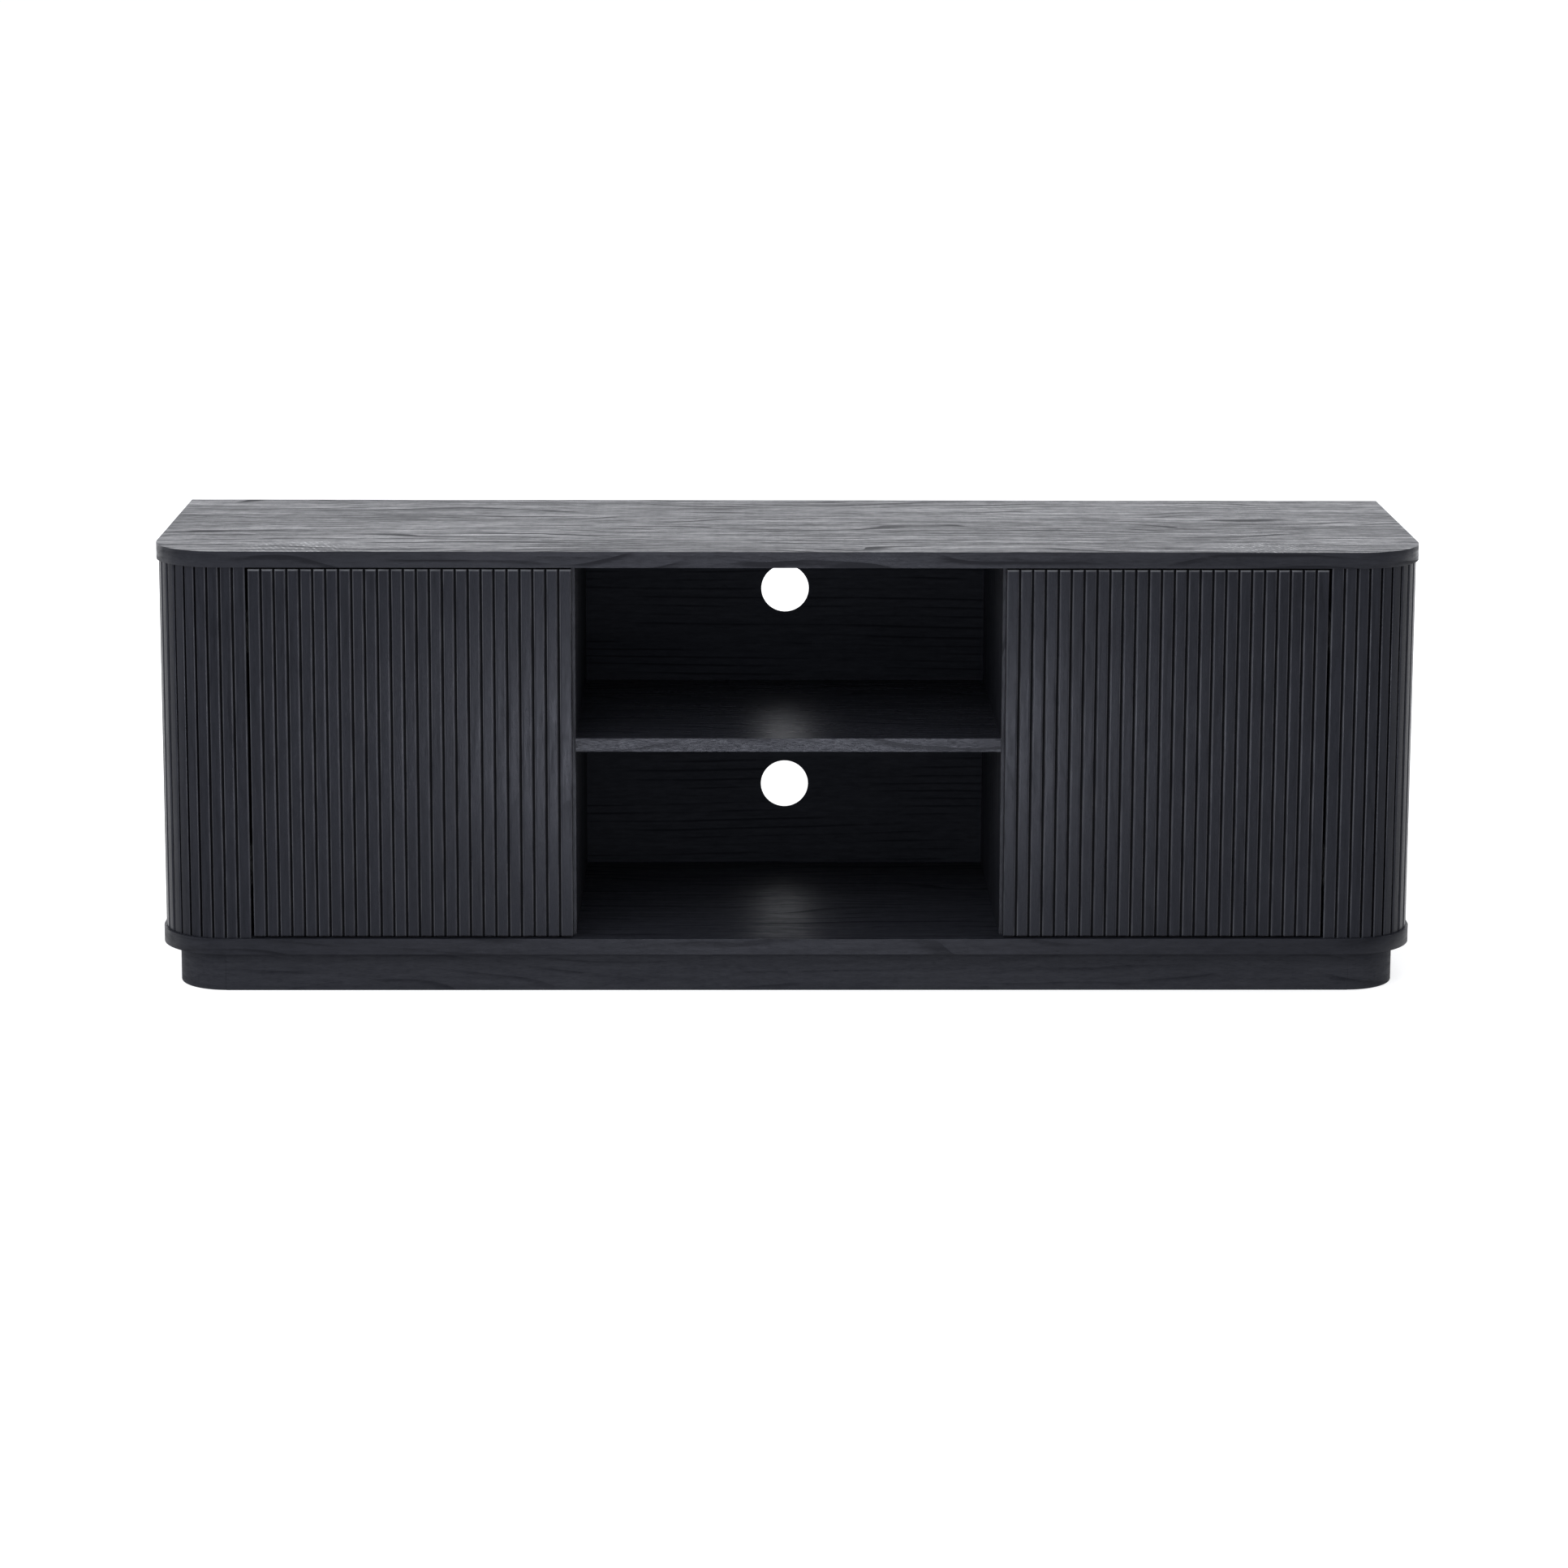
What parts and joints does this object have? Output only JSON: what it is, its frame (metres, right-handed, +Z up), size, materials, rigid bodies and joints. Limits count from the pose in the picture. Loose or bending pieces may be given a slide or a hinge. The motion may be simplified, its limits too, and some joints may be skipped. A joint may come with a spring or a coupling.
{
  "type": "media cabinet",
  "caption": "Low black media cabinet with rounded fluted ends, fluted doors either side of an open shelved bay with cable holes, on a recessed plinth.",
  "frame": {"origin": "centre of the overall box, on the floor", "axes": "+X to the right across the width, -Y out of the doors, +Z up"},
  "size_m": [1.5, 0.4, 0.534],
  "materials": {
    "black_board": "near-black wood-grain foil, satin",
    "black_flutes": "near-black wrapped flutes, satin",
    "beech": "bare beech and plywood",
    "steel": "nickel-plated steel",
    "zinc": "zinc-plated",
    "grey_plastic": "moulded, matte"
  },
  "bodies": {
    "cabinet": {"top_panel": "black_board", "base_panel": "black_board", "left_divider": "black_board", "right_divider": "black_board", "left_side_panel": "black_board", "right_side_panel": "black_board", "left_fluted_end": "black_flutes", "right_fluted_end": "black_flutes", "left_hinge_stile": "black_board", "right_hinge_stile": "black_board", "left_corner_formers": "beech", "right_corner_formers": "beech", "centre_back_panel": "black_board", "left_back_panel": "black_board", "right_back_panel": "black_board", "centre_shelf": "black_board", "left_inner_shelf": "black_board", "right_inner_shelf": "black_board", "left_shelf_pins": "steel", "right_shelf_pins": "steel", "plinth_front": "black_board", "plinth_back": "black_board", "plinth_left_side": "black_board", "plinth_right_side": "black_board", "plinth_left_corner": "black_board", "plinth_right_corner": "black_board", "plinth_cross_rails": "black_board", "plinth_brackets": "steel", "plinth_screws": "zinc", "cam_locks": "zinc", "cam_bolts": "steel", "dowels": "beech", "left_hinge_arms": "steel", "right_hinge_arms": "steel", "left_hinge_plates": "steel", "right_hinge_plates": "steel", "left_plate_screws": "zinc", "right_plate_screws": "zinc", "left_latch_body": "grey_plastic", "right_latch_body": "grey_plastic", "latch_screws": "zinc"},
    "left_door": {"left_door_leaf": "black_flutes", "left_hinge_cups": "steel", "left_hinge_pins": "zinc", "left_cup_screws": "zinc", "left_strike_plate": "steel"},
    "right_door": {"right_door_leaf": "black_flutes", "right_hinge_cups": "steel", "right_hinge_pins": "zinc", "right_cup_screws": "zinc", "right_strike_plate": "steel"},
    "left_latch_plunger": {"left_latch_plunger": "steel"},
    "right_latch_plunger": {"right_latch_plunger": "steel"}
  },
  "joints": [
    {"name": "left_door_hinge", "type": "hinge", "parent": "cabinet", "child": "left_door", "pos_m": [-0.6178, -0.186, 0.2915], "axis": [0, 0, -1], "range_deg": [0, 95]},
    {"name": "right_door_hinge", "type": "hinge", "parent": "cabinet", "child": "right_door", "pos_m": [0.6178, -0.186, 0.2915], "axis": [0, 0, 1], "range_deg": [0, 95]},
    {"name": "left_latch_push", "type": "slide", "parent": "cabinet", "child": "left_latch_plunger", "axis": [0, 1, 0], "range_m": [0, 0.002], "stiffness_N_per_m": 400, "springref_m": -0.004},
    {"name": "right_latch_push", "type": "slide", "parent": "cabinet", "child": "right_latch_plunger", "axis": [0, 1, 0], "range_m": [0, 0.002], "stiffness_N_per_m": 400, "springref_m": -0.004}
  ]
}
